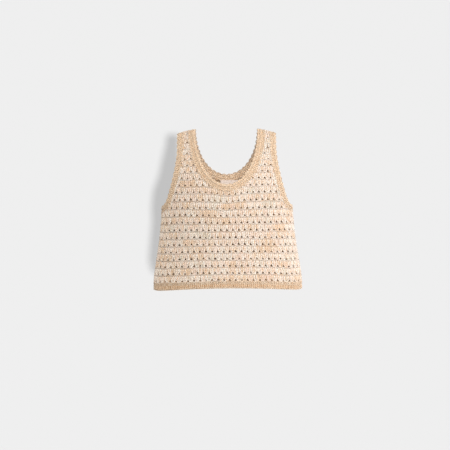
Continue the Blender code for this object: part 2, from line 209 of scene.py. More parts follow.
HEM_RIDGES = ((0.07, 0.0026, 1), (0.30, 0.0020, -1), (0.93, 0.0018, 1))   # middle, lift, hand
HEM_RIDGE_SPREAD = 0.075
HEM_RIDGE_YARN = 0.84         # share of the posts' yarn radius

# The label's rounded folds, slight waves and stitches
FOLD_RISE = 0.0002
FOLD_COLUMNS = 1.5
RIBBON_WAVE = 0.00015
THREAD_RADIUS = 0.00022
THREAD_ENDS = (0.035, 0.965)  # places of the two seams, as shares of the width
THREAD_STITCHES = 7
THREAD_RISE = 0.0001

# Yarn colours. Each piece's strands count from a row of their own, so that their flecks differ
BORDER_ROWS = 40.0
HEM_ROWS = 60.0
HEM_RIDGE_ROWS = 63.0
SEAM_ROWS = 80.0
SHOULDER_ROWS = 84.0
SIDE_ROWS = 0.3
RIDGE_PLY = (2.0, 0.2)
ROW_STRAY = 0.8               # how much the yarn's colour differs from row to row
IN_THE_OPEN = 0.01            # a height over the wearer's side that no shade reaches
DEEP_HEIGHTS = (0.0002, 0.0019)    # over the wearer's side: all shade, all open to the light
ONE_BAND = math.pi / 5        # a wave texture's scale for one band in each unit

# The studio: azimuth to the right of the front, elevation and width of each light, in degrees
LIGHT_ANGLES = {"side light": (65, 8, 40), "front light": (6, 30, 32),
                "wall light": (16.3, 0, 11.5)}
CAMERA_ASIDE = -0.0063
CAMERA_HEIGHT = -0.256
CAMERA_ROLL = math.radians(0.5)
SENSOR_WIDTH = 36.0
STUDIO_SIZE = 30.0
FLOOR_HEIGHT = -1.4
WALL_GLOW = 0.597
FLOOR_GLOW = 0.2

# Outline of the card that throws the shadow on the wall, as (drop, x): left edge, then right
SHADOW_CARD = ((-0.002, -0.1300), (0.025, -0.1331), (0.069, -0.1441), (0.113, -0.1537),
               (0.157, -0.1702), (0.201, -0.1757), (0.245, -0.1743), (0.289, -0.1790),
               (0.333, -0.1832), (0.355, -0.1840), (0.377, -0.1795), (0.392, -0.1700),
               (0.392, -0.05), (0.150, -0.05), (0.150, -0.0950), (-0.002, -0.0950))


def linear(code):
    """An sRGB hex value as a linear colour."""
    parts = [int(code[place:place + 2], 16) / 255 for place in (0, 2, 4)]
    return [part / 12.92 if part <= 0.04045 else ((part + 0.055) / 1.055) ** 2.4
            for part in parts]


def setting(name, value, text, **more):
    return FloatProperty(name=name, default=value, min=0.0, description=text, **more)


def length_setting(name, metres, text):
    return setting(name, metres, text, unit="LENGTH", precision=5)


def colour_setting(name, code, text):
    return FloatVectorProperty(name=name, default=linear(code), size=3, min=0.0, max=1.0,
                               subtype="COLOR", description=text)


class TankStitches(bpy.types.PropertyGroup):
    """Sizes of the stitches."""
    row_pitch: length_setting("Row height", 0.0191, "Height of one row of clusters")
    cluster_pitch: length_setting("Cluster width", 0.01585, "Width of a cluster, mid-front")
    side_stretch: setting("Side stretch", 0.12, "How much wider the clusters grow to the sides")
    hole_height: length_setting("Gap height", 0.0046, "Middle of a gap above its row's base")
    body_yarn: length_setting("Body yarn radius", 0.00158, "Radius of one strand")
    ridge_yarn: length_setting("Ridge yarn radius", 0.00094, "Radius of a ridge strand")
    trim_yarn: length_setting("Border yarn radius", 0.00105, "Radius of one strand")
    ply_pitch: length_setting("Ply twist", 0.0062, "Length of yarn in one turn of its plies")


class TankColours(bpy.types.PropertyGroup):
    """Colours of the yarns, the ribbon and the studio."""
    cream: colour_setting("Cream", "f2e6d7", "Ground colour of the marled yarn")
    tan: colour_setting("Tan", "e3c19b", "Tan flecks of the marled yarn")
    blush: colour_setting("Blush", "ebccb5", "Pink flecks of the marled yarn")
    greige: colour_setting("Greige", "d8c9b1", "Grey flecks of the marled yarn")
    # Painted shade: the yarn of the ground cloth, drawn darker than the stitches to stand for their
    # shade
    body_ground_shade: colour_setting("Body ground", "c2a68c", "Yarn that fills in under the stitches")
    # Painted shade: the marled yarn's colour low in the fabric and on the wearer's side, darkened to
    # stand for shade
    painted_body_shade: colour_setting("Body shade", "947556", "Marled yarn on the wearer's side")
    sand: colour_setting("Sand", "dfb992", "Borders and hem")
    sand_light: colour_setting("Light sand", "f5dec1", "Lighter ply of the border yarn")
    # Painted shade: the hem's ground cloth and the low parts of the hem's stitches, drawn darker to
    # stand for the ridges' shade
    hem_ground_shade: colour_setting("Hem ground", "a37a52", "Yarn that fills in under the hem's posts")
    ribbon: colour_setting("Ribbon", "eddcce", "Bare woven label")
    window: colour_setting("Window", "f1f4ff", "Tint of the soft light from the right")
    studio: colour_setting("Studio", "f0f0f0", "Wall, floor and surroundings")


class TankStage(bpy.types.PropertyGroup):
    """Camera and lights."""
    camera_distance: length_setting("Camera distance", 4.5, "From the shoulder plane")
    view_width: length_setting("View width", 1.2375, "Width seen at the shoulder plane")
    wall_distance: length_setting("Wall distance", 0.135, "From the shoulder plane to the wall")
    room_light: setting("Room light", 0.43, "Strength of the even light from all round")
    front_light: setting("Front light", 1.90, "Strength of the soft light above the camera")
    side_light: setting("Side light", 2.03, "Strength of the soft light from the right")
    wall_light: setting("Wall light", 20.8, "Strength of the light that throws the soft shadow")


# ---- small helpers ----
def unit(vectors):
    return vectors / np.maximum(np.linalg.norm(vectors, axis=-1, keepdims=True), 1e-12)


def running(steps):
    """Running totals along the last axis, from 0."""
    return np.insert(np.cumsum(steps, axis=-1), 0, 0.0, axis=-1)


def beside(*parts):
    """Parts of a place, such as its along, row and ply, side by side on a last axis."""
    return np.stack(np.broadcast_arrays(*parts), axis=-1)


def grid_value(table, rows, columns):
    """Bilinear lookup at fractional rows and columns, in a table of numbers or of vectors."""
    rows = np.clip(rows, 0, table.shape[0] - 1.001)
    columns = np.clip(columns, 0, table.shape[1] - 1.001)
    row, column = rows.astype(int), columns.astype(int)
    down, across = rows - row, columns - column
    if table.ndim == 3:
        down, across = down[..., None], across[..., None]
    top = table[row, column] * (1 - across) + table[row, column + 1] * across
    low = table[row + 1, column] * (1 - across) + table[row + 1, column + 1] * across
    return top * (1 - down) + low * down


# ---- cloth surface ----
def smooth_column(knots, values, first_slope):
    """Dense samples of a smooth curve through (knots, values), by cubic Hermite pieces."""
    slopes = np.gradient(values, knots)
    slopes[0] = first_slope
    share = np.linspace(0.0, 1.0, SPLINE_STEPS, endpoint=False)
    ease = share * share * (3 - 2 * share)
    samples = []
    for low, width in enumerate(np.diff(knots)):
        leave = share * (1 - share) ** 2 * width
        arrive = -share * share * (1 - share) * width
        piece = values[low] * (1 - ease) + values[low + 1] * ease
        samples.append(piece + slopes[low] * leave + slopes[low + 1] * arrive)
    return np.concatenate(samples + [[values[-1]]])


def centre_profile(column):
    """Run, drop and depth along one side's centre line."""
    drops, depths = SECTIONS[:, 0], SECTIONS[:, column]
    knots = running(np.hypot(np.diff(drops), np.diff(depths)))
    drop = smooth_column(knots, drops, 0.0)
    depth = smooth_column(knots, depths, 1.0)
    return running(np.hypot(np.diff(drop), np.diff(depth))), drop, depth


PROFILES = {FRONT: centre_profile(2), BACK: centre_profile(3)}
WIDTH_DROPS = smooth_column(SECTIONS[:, 0], SECTIONS[:, 0], 1.0)
HALF_WIDTHS = smooth_column(SECTIONS[:, 0], SECTIONS[:, 1], 0.0)


def run_at_drop(side, drop):
    return np.interp(drop, PROFILES[side][1], PROFILES[side][0])


def half_width_at(drop):
    return np.interp(drop, WIDTH_DROPS, HALF_WIDTHS)


def side_column(side, run, column):
    """Drop (column 1) or depth (column 2) at a run, on each place's own side."""
    front, back = (np.interp(run, PROFILES[key][0], PROFILES[key][column])
                   for key in (FRONT, BACK))
    return np.where(side == FRONT, front, back)


def cloth_points(side, turn, run):
    """Points of the wearer's side of the cloth, from angle round it and run down it."""
    side = np.where(run < 0, -side, side)
    run = np.abs(run)
    drop = side_column(side, run, 1)
    depth = side_column(side, run, 2)
    x = half_width_at(drop) * np.sin(turn)
    y = side * depth * np.cos(turn)
    level = np.clip(1 - drop / SLOPE_FADE_DROP, 0, 1) ** 2
    sag = np.clip((drop - SAG_START_DROP) / (HEM_BOTTOM_DROP - SAG_START_DROP), 0, 1) ** SAG_POWER
    round_side = np.sin(turn) ** 2 - SEAM_LIFT * np.sin(turn) ** SEAM_LIFT_POWER
    z = -drop + SHOULDER_SLOPE * (STRAP_MIDDLE - np.abs(x)) * level - HEM_SAG * round_side * sag
    return np.stack((x, y, z), axis=-1)


def cloth_slopes(side, turn, run):
    """How a point moves with its turn, and with its run."""
    by_turn = cloth_points(side, turn + NUDGE, run) - cloth_points(side, turn - NUDGE, run)
    by_run = cloth_points(side, turn, run + NUDGE) - cloth_points(side, turn, run - NUDGE)
    return by_turn / (2 * NUDGE), by_run / (2 * NUDGE)


def lifted(side, turn, run, lift):
    """Points at a lift over the cloth, and the cloth's outward directions there."""
    normals = unit(np.cross(*cloth_slopes(side, turn, run)) * np.asarray(side)[..., None])
    return cloth_points(side, turn, run) + normals * np.asarray(lift)[..., None], normals


# Turn at a distance along the level section, in tables over run and share of the section's half
TABLE_RUNS = np.linspace(-0.05, 0.52, 286)
TABLE_SHARES = np.linspace(-1.1, 1.1, 177)
TABLE_TURNS = np.linspace(-1.2 * QUARTER, 1.2 * QUARTER, 289)


def section_tables(side):
    """Half of each section's length, and the turn at each share of that half."""
    width = half_width_at(side_column(side, np.abs(TABLE_RUNS), 1))[:, None]
    sides = np.where(TABLE_RUNS < 0, -side, side)
    depth = side_column(sides, np.abs(TABLE_RUNS), 2)[:, None]
    speed = np.hypot(width * np.cos(TABLE_TURNS), depth * np.sin(TABLE_TURNS))
    along = running((speed[:, 1:] + speed[:, :-1]) / 2 * (TABLE_TURNS[1] - TABLE_TURNS[0]))
    along -= along[:, [len(TABLE_TURNS) // 2]]
    halves = np.array([np.interp(QUARTER, TABLE_TURNS, row) for row in along])
    table = [np.interp(TABLE_SHARES * half, row, TABLE_TURNS) for row, half in zip(along, halves)]
    return halves, np.array(table)


SECTION_TABLES = {side: section_tables(side) for side in (FRONT, BACK)}


def half_section(side, run):
    """Distance along the cloth from the centre line to the side seam."""
    return np.interp(run, TABLE_RUNS, SECTION_TABLES[side][0])


def turn_at(side, along, run):
    share = along / half_section(side, run)
    rows = (run - TABLE_RUNS[0]) / (TABLE_RUNS[1] - TABLE_RUNS[0])
    columns = (share - TABLE_SHARES[0]) / (TABLE_SHARES[1] - TABLE_SHARES[0])
    return grid_value(SECTION_TABLES[side][1], rows, columns)


def on_cloth(side, along, run, lift):
    """As lifted, for places on one side given by their distance from the centre line."""
    turn = turn_at(side, along, run)
    return lifted(np.full(np.shape(turn), float(side)), turn, run, lift)


# ---- the openings' edges ----
def trim_width(hand):
    return ARM_TRIM_WIDTH if hand else NECK_TRIM_WIDTH


def opening_edge(side, hand):
    """One side's edge of the neck (hand 0) or of an armhole, as (turn, run)."""
    if hand:
        drop = ARM_DROP * np.linspace(0.0, 1.0, EDGE_POINTS) ** EDGE_CROWDING
        curve = np.clip((drop - ARM_CURVE_DROP) / (ARM_DROP - ARM_CURVE_DROP), 0, 1)
        last = half_width_at(ARM_DROP) - STRAP_OUTER - ARM_SPREAD
        x = STRAP_OUTER + ARM_SPREAD * curve ** ARM_SPREAD_POWER + last * curve ** ARM_TURN_POWER
        turn = hand * np.arcsin(np.clip(x / half_width_at(drop), 0, 1))
        turn[-1] = hand * QUARTER
    else:
        angle = np.linspace(0.0, math.pi, EDGE_POINTS)
        drop = NECK_DROP[side] * np.sin(angle)
        turn = np.arcsin(NECK_HALF_WIDTH * np.cos(angle) / half_width_at(drop))
    return beside(turn, run_at_drop(side, drop))


def even_stations(side, edge):
    """Even stations along an edge, for a whole number of scallops."""
    points = cloth_points(side, *edge.T)
    length = running(np.linalg.norm(np.diff(points, axis=0), axis=1))
    count = RING_STEPS * round(length[-1] / SCALLOP_PITCH)
    where = np.linspace(0.0, length[-1], count, endpoint=False)
    return beside(float(side), *(np.interp(where, length, column) for column in edge.T))


def ring_stations(hand):
    """Places round an opening: down or along the front, then the back."""
    return np.concatenate((even_stations(FRONT, opening_edge(FRONT, hand)),
                           even_stations(BACK, opening_edge(BACK, hand)[::-1])))


def walked_lines(hand, distances):
    """Side, turn and run of a ring's stations, moved into the fabric by each distance."""
    side, turn, run = ring_stations(hand).T
    points = cloth_points(side, turn, run)
    course = np.roll(points, -1, axis=0) - np.roll(points, 1, axis=0)
    turn_part, run_part = (np.sum(course * unit(slope), axis=1)
                           for slope in cloth_slopes(side, turn, run))
    size = np.hypot(turn_part, run_part)
    facing = -side * (-hand if hand else 1)
    turn_way, run_way = facing * run_part / size, -facing * turn_part / size
    for distance in distances:
        there = turn, run
        for _ in range(WALK_STEPS):
            speeds = (np.linalg.norm(slope, axis=1) for slope in cloth_slopes(side, *there))
            there = [place + way * distance / WALK_STEPS / speed
                     for place, way, speed in zip(there, (turn_way, run_way), speeds)]
        yield side, *there


# ---- yarn ----
class Skein:
    """Gathers strands of yarn as tubes and winds them into one mesh."""
    TAPER = 0.6               # an end's radius

    def __init__(self):
        self.points, self.tags, self.heights = [], [], []
        self.loops, self.uvs, self.sizes = [], [], []
        self.total = 0

    def add(self, centres, normals, radius, tag, lift=IN_THE_OPEN):
        """Strands as (N, S, 3) centre lines; tag gives along, row and ply.

        lift is the centre lines' height over the wearer's side of the cloth. It only sets the height
        attribute, from which the yarn material paints shade.
        """
        tangent = unit(np.gradient(centres, axis=1))
        across = unit(np.cross(tangent, normals))
        above = np.cross(across, tangent)
        angle = np.arange(TUBE_SIDES) * 2 * math.pi / TUBE_SIDES
        ring = (across[:, :, None] * np.cos(angle)[:, None]
                + above[:, :, None] * np.sin(angle)[:, None])
        radius = np.broadcast_to(radius, centres.shape[:2]).copy()
        radius[:, (0, -1)] *= self.TAPER
        points = centres[:, :, None] + ring * radius[..., None, None]
        over = np.sum(ring * normals[:, :, None], axis=-1) * radius[..., None]
        index = self.total + np.arange(over.size).reshape(over.shape)
        following = np.roll(index, -1, axis=2)
        quads = beside(index[:, :-1], index[:, 1:], following[:, 1:], following[:, :-1])
        caps = np.concatenate((index[:, 0], index[:, -1, ::-1]))
        length = running(np.linalg.norm(np.diff(centres, axis=1), axis=2))[..., None]
        start, end, here = np.broadcast_arrays(length[:, :-1], length[:, 1:],
                                               np.arange(TUBE_SIDES) / TUBE_SIDES)
        there = here + 1 / TUBE_SIDES
        uv = beside(beside(start, end, end, start), beside(here, here, there, there))
        self.points.append(points.reshape(-1, 3))
        self.heights.append((np.broadcast_to(lift, radius.shape)[..., None] + over).reshape(-1))
        self.tags.append(np.repeat(np.broadcast_to(tag, centres.shape).reshape(-1, 3),
                                   TUBE_SIDES, axis=0))
        self.loops += [quads.reshape(-1), caps.reshape(-1)]
        self.uvs += [uv.reshape(-1, 2), np.zeros((caps.size, 2))]
        self.sizes += [np.full(quads[..., 0].size, 4), np.full(len(caps), TUBE_SIDES)]
        self.total += over.size

    def wind(self, name, material):
        parts = (np.concatenate(part) for part in
                 (self.points, self.loops, self.sizes, self.tags, self.heights, self.uvs))
        return mesh_piece(name, material, *parts)


def mesh_piece(name, material, points, loops, sizes, tags, heights, uvs=None):
    """One object from flat arrays, riding on the frame's body."""
    mesh = bpy.data.meshes.new(name)
    mesh.vertices.add(len(points))
    mesh.loops.add(len(loops))
    mesh.polygons.add(len(sizes))

    def fill(store, field, values, kind=np.float32):
        store.foreach_set(field, np.asarray(values, dtype=kind).ravel())

    fill(mesh.vertices, "co", points)
    fill(mesh.loops, "vertex_index", loops, np.int32)
    fill(mesh.polygons, "loop_start", running(sizes)[:-1], np.int32)
    mesh.update(calc_edges=True)
    if uvs is not None:
        fill(mesh.uv_layers.new(name="UVMap").data, "uv", uvs)
    fill(mesh.attributes.new("strand", "FLOAT_VECTOR", "POINT").data, "vector", tags)
    # Heights over the wearer's side, from which the yarn material paints shade low in the fabric
    fill(mesh.attributes.new("height", "FLOAT", "POINT").data, "value", heights)
    mesh.shade_smooth()
    if mesh.validate():
        raise RuntimeError(name + " has a faulty mesh")
    mesh.materials.append(material)
    piece = bpy.data.objects.new(name, mesh)
    bpy.context.scene.collection.objects.link(piece)
    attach(piece, "root")
    return piece


def shell_piece(name, material, outer, inner, faces, rims, tags):
    """A thin closed shell: the outer faces, the inner ones reversed, and rims joining them."""
    tags = np.broadcast_to(tags, outer.shape).reshape(-1, 3)
    first = len(tags)
    loops, sizes = [], []
    for face in faces:
        loops += list(face) + [first + corner for corner in reversed(face)]
        sizes += [len(face), len(face)]
    for rim in rims:
        for here, there in zip(rim, rim[1:] + rim[:1]):
            loops += [there, here, first + here, first + there]
            sizes.append(4)
    points = np.concatenate((outer.reshape(-1, 3), inner.reshape(-1, 3)))
    piece = mesh_piece(name, material, points, loops, sizes, np.concatenate((tags, tags)),
                       np.full(2 * first, IN_THE_OPEN))
    piece.data.set_sharp_from_angle(angle=SHELL_CREASE)
    return piece


# Corners of a grid's face as (step, line), taken along the steps first or down the lines first
STEP_FIRST = ((0, 0), (1, 0), (1, 1), (0, 1))
LINE_FIRST = ((0, 0), (0, 1), (1, 1), (1, 0))


def grid_faces(steps, wide, corners, closed=True):
    """Faces of a grid of points, with so many steps and lines."""
    return [[(here + on) % steps * wide + line + down for on, down in corners]
            for here in range(steps if closed else steps - 1) for line in range(wide - 1)]


def band_piece(name, material, outer, inner, corners, tags):
    """A thin closed band, from grids of points on both faces that go round an opening."""
    steps, wide = outer.shape[:2]
    rims = [list(range(line, steps * wide, wide)) for line in (0, wide - 1)]
    rims[1 if corners == STEP_FIRST else 0].reverse()
    return shell_piece(name, material, outer, inner, grid_faces(steps, wide, corners), rims, tags)


def chain_stitch(share):
    """A chain stitch's loop at shares of its length: reach, width and height.

    Reach is in stitches from the stitch's middle, and passes both ends, where the loops overlap.
    """
    return (1.28 * share - 0.55, np.sin(math.pi * (0.06 + 0.80 * share)) ** 0.8,
            0.0008 * np.sin(math.pi * np.clip(0.18 + 0.82 * share, 0, 1)))


# ---- body panels ----
class Panel:
    """One body panel: its rows of clusters, its flat outline and how deep a place lies in it."""
    STEP = 0.002
    FIELD = ((-0.29, 0.29), (-0.012, 0.50))

    def __init__(self, side, stitches):
        self.side = side
        self.stitches = stitches
        self.row = stitches.row_pitch
        self.base = run_at_drop(side, HEM_TOP_DROP)
        self.rows = int(self.base / self.row) + 1
        self.flat = self.flat_outline()
        self.field = self.depth_field()

    def spot(self, column, height):
        """A place counted in clusters and in height by the rows' own level, as (along, run)."""
        stretch = 1 + self.stitches.side_stretch * (column / STRETCH_COLUMNS) ** 2
        along = self.stitches.cluster_pitch * column * stretch
        wander = sum(deep * np.sin(along / wide + height / high + start)
                     for deep, wide, high, start in WANDER)
        return along, self.base - height - self.rise(along, height) + wander

    def rise(self, along, height):
        """How far the rows ride up: beside the centre, and over most of the back."""
        rise = (np.interp(height, *np.transpose(NECK_DIP))
                * (1 - np.exp(-(along / NECK_DIP_WIDTH) ** 2)))
        if self.side == BACK:
            fade = np.clip(1 - (along / BACK_RISE_REACH) ** 4, 0, 1)
            rise = rise + (BACK_RISE + BACK_RISE_RATE * np.clip(height, 0, None)) * fade
        return rise

    def opening_line(self, hand):
        """Where an opening's border meets the panel, as (along, run)."""
        side, turn, run = next(walked_lines(hand, [trim_width(hand)]))
        here = (side == self.side) & (run > 0)
        line = []
        for turn, run in zip(turn[here], run[here]):
            reach = np.linspace(0, half_section(self.side, run), OUTLINE_STEPS)
            turns = turn_at(self.side, reach, np.full(OUTLINE_STEPS, run))
            line.append((np.sign(turn) * np.interp(abs(turn), turns, reach), run))
        return np.array(line)

    def flat_outline(self):
        """The panel's edge as (along, run), going round once."""
        neck, arm = self.opening_line(0), self.opening_line(1)
        if self.side == FRONT:
            neck = neck[::-1]
        else:
            arm = arm[::-1]
        arm = arm[arm[:, 0] < half_section(self.side, arm[:, 1]) - SEAM_CLEAR]
        seam = np.linspace(arm[-1][1] + SEAM_CLEAR, self.base, SEAM_POINTS)
        seam = beside(half_section(self.side, seam), seam)
        hem = np.linspace(seam[-1][0], 0.0, HEM_EDGE_POINTS, endpoint=False)[1:]
        right = np.concatenate(([[arm[0][0], 0.0]], arm, seam, beside(hem, self.base)))
        inner = abs(neck[0][0])
        return np.concatenate((right, right[::-1] * (-1, 1), [[-inner, 0.0]], neck,
                               [[inner, 0.0]]))

    def depth_field(self):
        """Signed distance to the outline, positive inside, on an even grid."""
        grid = np.stack(np.meshgrid(*(np.arange(*ends, self.STEP) for ends in self.FIELD)), -1)
        near = np.full(grid.shape[:2], 1.0)
        inside = np.zeros(grid.shape[:2], dtype=bool)
        for start, end in zip(self.flat, np.roll(self.flat, -1, axis=0)):
            course = end - start
            size = float(course @ course)
            if size < 1e-12:
                continue
            share = np.clip((grid - start) @ course / size, 0, 1)
            foot = start + share[..., None] * course
            near = np.minimum(near, np.hypot(*np.moveaxis(foot - grid, -1, 0)))
            if start[1] != end[1]:
                crosses = (start[1] > grid[..., 1]) != (end[1] > grid[..., 1])
                x = start[0] + (grid[..., 1] - start[1]) / course[1] * course[0]
                inside ^= crosses & (x > grid[..., 0])
        return np.where(inside, near, -near)

    def depth(self, column, height):
        columns, rows = ((place - ends[0]) / self.STEP
                         for place, ends in zip(self.spot(column, height), self.FIELD))
        return grid_value(self.field, rows, columns)

    def strands(self, skein, shape, count, samples, limit, radius, tag, shade=0.0):
        """Adds strands, cut back to the samples at least a limit inside the panel.

        shape gives (column, height, lift) at shares (N, S) of each strand's length.
        """
        share = np.broadcast_to(np.linspace(0, 1, samples), (count, samples))
        column, height, _ = shape(share, np.arange(count))
        kept = self.depth(column, height) > limit
        chosen = np.nonzero(kept.sum(axis=1) >= max(3, samples // 2))[0]
        first = np.argmax(kept, axis=1) / (samples - 1)
        last = 1 - np.argmax(kept[:, ::-1], axis=1) / (samples - 1)
        share = (first[chosen, None]
                 + (last - first)[chosen, None] * np.linspace(0, 1, samples))
        column, height, lift = shape(share, chosen)
        along, run = self.spot(column, height)
        centres, normals = on_cloth(self.side, along, run, lift)
        # The heights, raised by shade, only set how much painted shade the strands get
        skein.add(centres, normals, radius(chosen, height), beside(along, *tag(chosen)),
                  lift + shade)


def row_shift(row):
    """Every other row lies half a cluster aside."""
    return 0.5 * np.mod(row, 2)


def gap_columns(row):
    """Where the gaps of a row lie, in clusters."""
    return np.arange(-18, 18) + row_shift(row) + GAP_START


def grown(height, foot, full, power):
    """A share that grows from its value at the foot to 1 at the full height."""
    return foot + (1 - foot) * np.clip(height / full, 0, 1) ** power


def lay_panel(panel, posts, ridges, seed):
    """Clusters of three posts in every row, and the chain ridge over each row."""
    stitches = panel.stitches
    rng = np.random.default_rng(seed)
    row, gap, stitch = np.array([(row, gap, stitch) for row in range(-1, panel.rows)
                                 for gap in gap_columns(row) for stitch in CLUSTER]).T
    hand = np.where(row % 2 == 0, 1.0, -1.0)
    aside, settle = (rng.normal(0, stray, len(row)) for stray in POST_STRAY)
    phase = rng.uniform(-0.5, 0.5, len(row)) + 0.8 * stitch
    spots = np.stack((row, gap + 0.5, stitch, hand, aside, settle, phase))[..., None]

    for ply in (0, 1):
        def post(share, chosen, ply=ply):
            row, centre, stitch, hand, aside, settle, phase = spots[:, chosen]
            height = POST_FOOT + share * (panel.row + POST_OVERLAP)
            lean = np.where(hand < 0, *LEANS) * np.clip(1 - height / LEAN_HEIGHT, 0, 1)
            angle = phase + hand * 2 * math.pi * POST_TURNS * share + math.pi * ply
            column = (centre + stitch * grown(height, *FAN) / 3 + lean + aside
                      + PLY_SWING * np.cos(angle) * grown(height, *SQUEEZE))
            bulge = FOOT_BULGE * np.exp(-(height / FOOT_BULGE_HEIGHT) ** 2)
            lift = (POST_LIFT + bulge * (1 - SIDE_POSTS_LOWER * np.abs(stitch))
                    + PLY_RISE * np.sin(angle))
            lift = lift - HEAD_TUCK * np.clip((share - HEAD_SHARE) / (1 - HEAD_SHARE), 0, 1)
            return column, row * panel.row + height + settle, lift

        def plump(chosen, height):
            height = height - spots[0, chosen] * panel.row
            return stitches.body_yarn * grown(height, *PLUMP)

        def post_tag(chosen, ply=ply):
            return spots[0, chosen] + SIDE_ROWS * panel.side, ply + 0.3 * spots[2, chosen]

        panel.strands(posts, post, len(row), 8, POST_OVERHANG, plump, post_tag)

    for leg in (-1, 1):
        def chain(share, chosen, leg=leg):
            row, centre, stitch, hand = spots[:4, chosen]
            reach, width, high = chain_stitch(share)
            column = centre + stitch / 3 + hand * reach / 3
            wave = np.cos((column - (row_shift(row + 1) + GAP_START)) * 2 * math.pi)
            height = (row + 1) * panel.row + leg * (RIDGE_SPREAD * width) - 0.0002
            return column, height, RIDGE_LIFT + RIDGE_WAVE * wave + high

        def chain_tag(chosen, leg=leg):
            return spots[0, chosen] + 0.5 + SIDE_ROWS * panel.side, RIDGE_PLY[0] + RIDGE_PLY[1] * leg

        panel.strands(ridges, chain, len(row), LOOP_POINTS, RIDGE_OVERHANG,
                      lambda chosen, height: stitches.ridge_yarn, chain_tag, RIDGE_OPEN)


def edge_chain(panel, skein, path, row):
    """A chain worked along an edge of the panel, given as (along, run) points."""
    length = running(np.hypot(*np.diff(path, axis=0).T))
    count = max(1, round(length[-1] / EDGE_CHAIN_PITCH))
    reach, width, high = chain_stitch(np.linspace(0, 1, LOOP_POINTS))
    where = np.clip(np.arange(count)[:, None] + 0.5 + reach, 0, count) / count * length[-1]
    course = unit(np.gradient(path, axis=0))
    along, run, ahead_along, ahead_run = (np.interp(where, length, column)
                                          for column in (*path.T, *course.T))
    lift = EDGE_CHAIN_LIFT + high
    for leg in (-1, 1):
        aside = leg * EDGE_CHAIN_SPREAD * width
        centres, normals = on_cloth(panel.side, along - ahead_run * aside,
                                    run + ahead_along * aside, lift)
        skein.add(centres, normals, panel.stitches.ridge_yarn, beside(where, row, leg), lift)


def work_seams(panel, skein):
    """Chains down both side seams, and across the straps' marled strips at the shoulders."""
    run = np.linspace(run_at_drop(panel.side, ARM_DROP) + ARM_TRIM_WIDTH, panel.base, 60)
    strip = np.linspace(NECK_HALF_WIDTH + NECK_TRIM_WIDTH, STRAP_OUTER - ARM_TRIM_WIDTH, 9)
    for hand in (-1, 1):
        along = hand * (half_section(panel.side, run) - SEAM_INSET)
        edge_chain(panel, skein, beside(along, run), SEAM_ROWS + hand)
        edge_chain(panel, skein, beside(hand * strip, SEAM_INSET), SHOULDER_ROWS + hand)


def panel_shell(panel, name, material):
    """The ground cloth: a thin shell cut through at every gap between clusters."""
    flat = [tuple(point) for point in panel.flat]
    rims = [list(range(len(flat)))]
    owner = [-1] * len(flat)
    fill = []
    across, up = np.array(GAP_LOOP + tuple((-x, h) for x, h in GAP_LOOP[-2:0:-1])).T
    for row in range(panel.rows):
        columns = gap_columns(row)
        for number, column in enumerate(columns):
            for size in GAP_SIZES:
                hole = (column + (across - GAP_LEAN * up) * size,
                        row * panel.row + panel.stitches.hole_height + up * size)
                if panel.depth(*hole).min() >= GAP_CLEAR:
                    rims.append(list(range(len(flat), len(flat) + len(up))))
                    flat += zip(*panel.spot(*hole))
                    owner += [row * 100 + number] * len(up)
                    break
        for share, shift in FILL_PLACES:
            places = np.concatenate((columns, columns + 0.5)) + shift
            height = np.full(len(places), (row + share) * panel.row)
            deep = panel.depth(places, height) > FILL_CLEAR
            fill += zip(*panel.spot(places[deep], height[deep]))
    flat += fill
    owner += [-1] * len(fill)
    edges = [pair for rim in rims for pair in zip(rim, rim[1:] + rim[:1])]
    result = delaunay_2d_cdt([Vector(point) for point in flat], edges, [], 1, 1e-7)
    source = [found[0] if found else -1 for found in result[3]]
    if min(source) < 0:
        raise RuntimeError("the ground cloth's outlines cross")
    faces = []
    for face in result[2]:
        owners = {owner[source[corner]] for corner in face}
        if len(owners) > 1 or owners == {-1}:
            faces.append([source[corner] for corner in face])
    if len({corner for face in faces for corner in face}) != len(flat):
        raise RuntimeError("the ground cloth has loose points")
    flat = np.array(flat)
    corners = flat[np.array(faces)]
    area = float(np.abs(np.linalg.det(corners[:, 1:] - corners[:, :1])).sum()) / 2
    along, run = flat.T
    inner, outer = (on_cloth(panel.side, along, run, lift)[0] for lift in SHELL_LIFTS)
    tags = beside(along, (panel.base - run) / panel.row + SIDE_ROWS * panel.side, 0.5)
    return shell_piece(name, material, outer, inner, faces, rims, tags), area


# ---- scalloped borders ----
def edge_rise(scallop):
    """How far the free edge stands past the valley line, along the scallops."""
    rise, power = FREE_EDGE
    return rise * np.abs(np.sin(math.pi * scallop)) ** power


